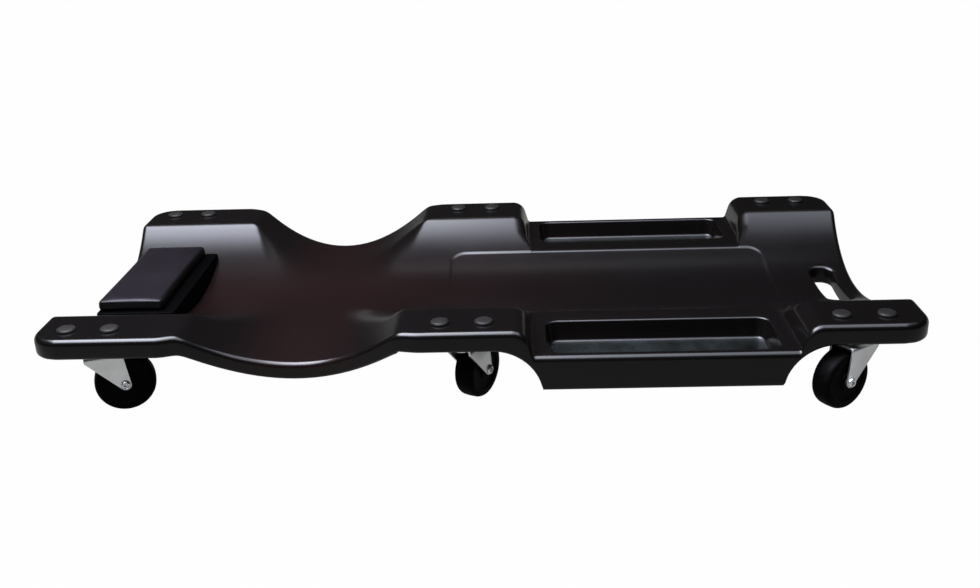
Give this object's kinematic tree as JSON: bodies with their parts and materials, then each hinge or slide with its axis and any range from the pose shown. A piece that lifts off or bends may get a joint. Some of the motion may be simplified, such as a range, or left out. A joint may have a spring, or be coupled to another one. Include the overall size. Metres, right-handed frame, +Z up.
{
  "type": "mechanic creeper",
  "caption": "Low dished moulded creeper with arm cut-outs, side tool trays, hand slot and padded headrest, rolling on swivel casters.",
  "frame": {"origin": "on the floor under the middle of the deck's plan", "axes": "+X towards the foot end, +Y towards the left hand of a person lying face up, +Z up"},
  "size_m": [0.914, 0.468, 0.0974],
  "materials": {
    "deck_plastic": "satin black moulded polyethylene",
    "base_plastic": "matt black moulded plastic",
    "headrest_vinyl": "dark grained vinyl over foam",
    "zinc_steel": "zinc plated pressed steel",
    "bolt_steel": "dark plated steel",
    "wheel_rubber": "hard black tread"
  },
  "bodies": {
    "deck": {"deck_shell": "deck_plastic", "headrest_base": "base_plastic", "headrest_cushion": "headrest_vinyl", "headrest_screw_end": "zinc_steel", "headrest_screw_inner": "zinc_steel", "head_left_plate": "zinc_steel", "head_left_swivel_bearing": "zinc_steel", "head_left_kingpin": "zinc_steel", "head_left_bolt_head_side": "bolt_steel", "head_left_bolt_foot_side": "bolt_steel", "head_right_plate": "zinc_steel", "head_right_swivel_bearing": "zinc_steel", "head_right_kingpin": "zinc_steel", "head_right_bolt_head_side": "bolt_steel", "head_right_bolt_foot_side": "bolt_steel", "mid_left_plate": "zinc_steel", "mid_left_swivel_bearing": "zinc_steel", "mid_left_kingpin": "zinc_steel", "mid_left_bolt_head_side": "bolt_steel", "mid_left_bolt_foot_side": "bolt_steel", "mid_right_plate": "zinc_steel", "mid_right_swivel_bearing": "zinc_steel", "mid_right_kingpin": "zinc_steel", "mid_right_bolt_head_side": "bolt_steel", "mid_right_bolt_foot_side": "bolt_steel", "foot_left_plate": "zinc_steel", "foot_left_swivel_bearing": "zinc_steel", "foot_left_kingpin": "zinc_steel", "foot_left_bolt_head_side": "bolt_steel", "foot_left_bolt_foot_side": "bolt_steel", "foot_right_plate": "zinc_steel", "foot_right_swivel_bearing": "zinc_steel", "foot_right_kingpin": "zinc_steel", "foot_right_bolt_head_side": "bolt_steel", "foot_right_bolt_foot_side": "bolt_steel"},
    "head_left_swivel": {"head_left_fork": "zinc_steel", "head_left_bushing": "zinc_steel", "head_left_axle": "zinc_steel"},
    "head_left_roller": {"head_left_wheel": "wheel_rubber"},
    "head_right_swivel": {"head_right_fork": "zinc_steel", "head_right_bushing": "zinc_steel", "head_right_axle": "zinc_steel"},
    "head_right_roller": {"head_right_wheel": "wheel_rubber"},
    "mid_left_swivel": {"mid_left_fork": "zinc_steel", "mid_left_bushing": "zinc_steel", "mid_left_axle": "zinc_steel"},
    "mid_left_roller": {"mid_left_wheel": "wheel_rubber"},
    "mid_right_swivel": {"mid_right_fork": "zinc_steel", "mid_right_bushing": "zinc_steel", "mid_right_axle": "zinc_steel"},
    "mid_right_roller": {"mid_right_wheel": "wheel_rubber"},
    "foot_left_swivel": {"foot_left_fork": "zinc_steel", "foot_left_bushing": "zinc_steel", "foot_left_axle": "zinc_steel"},
    "foot_left_roller": {"foot_left_wheel": "wheel_rubber"},
    "foot_right_swivel": {"foot_right_fork": "zinc_steel", "foot_right_bushing": "zinc_steel", "foot_right_axle": "zinc_steel"},
    "foot_right_roller": {"foot_right_wheel": "wheel_rubber"}
  },
  "joints": [
    {"name": "head_left_swivel_turn", "type": "hinge", "parent": "deck", "child": "head_left_swivel", "pos_m": [-0.401, 0.193, 0.06873], "axis": [0, 0, 1], "continuous": true},
    {"name": "head_left_wheel_spin", "type": "hinge", "parent": "head_left_swivel", "child": "head_left_roller", "pos_m": [-0.37469, 0.18342, 0.03148], "axis": [0.342, 0.9397, 0], "continuous": true},
    {"name": "head_right_swivel_turn", "type": "hinge", "parent": "deck", "child": "head_right_swivel", "pos_m": [-0.401, -0.193, 0.06873], "axis": [0, 0, 1], "continuous": true},
    {"name": "head_right_wheel_spin", "type": "hinge", "parent": "head_right_swivel", "child": "head_right_roller", "pos_m": [-0.37469, -0.18342, 0.03148], "axis": [-0.342, 0.9397, 0], "continuous": true},
    {"name": "mid_left_swivel_turn", "type": "hinge", "parent": "deck", "child": "mid_left_swivel", "pos_m": [-0.014, 0.193, 0.06873], "axis": [0, 0, 1], "continuous": true},
    {"name": "mid_left_wheel_spin", "type": "hinge", "parent": "mid_left_swivel", "child": "mid_left_roller", "pos_m": [-0.00085, 0.16828, 0.03148], "axis": [0.8829, 0.4695, 0], "continuous": true},
    {"name": "mid_right_swivel_turn", "type": "hinge", "parent": "deck", "child": "mid_right_swivel", "pos_m": [-0.014, -0.193, 0.06873], "axis": [0, 0, 1], "continuous": true},
    {"name": "mid_right_wheel_spin", "type": "hinge", "parent": "mid_right_swivel", "child": "mid_right_roller", "pos_m": [-0.00085, -0.16828, 0.03148], "axis": [-0.8829, 0.4695, 0], "continuous": true},
    {"name": "foot_left_swivel_turn", "type": "hinge", "parent": "deck", "child": "foot_left_swivel", "pos_m": [0.393, 0.193, 0.06873], "axis": [0, 0, 1], "continuous": true},
    {"name": "foot_left_wheel_spin", "type": "hinge", "parent": "foot_left_swivel", "child": "foot_left_roller", "pos_m": [0.36979, 0.20866, 0.03148], "axis": [-0.5592, -0.829, 0], "continuous": true},
    {"name": "foot_right_swivel_turn", "type": "hinge", "parent": "deck", "child": "foot_right_swivel", "pos_m": [0.393, -0.193, 0.06873], "axis": [0, 0, 1], "continuous": true},
    {"name": "foot_right_wheel_spin", "type": "hinge", "parent": "foot_right_swivel", "child": "foot_right_roller", "pos_m": [0.36979, -0.20866, 0.03148], "axis": [0.5592, -0.829, 0], "continuous": true}
  ]
}
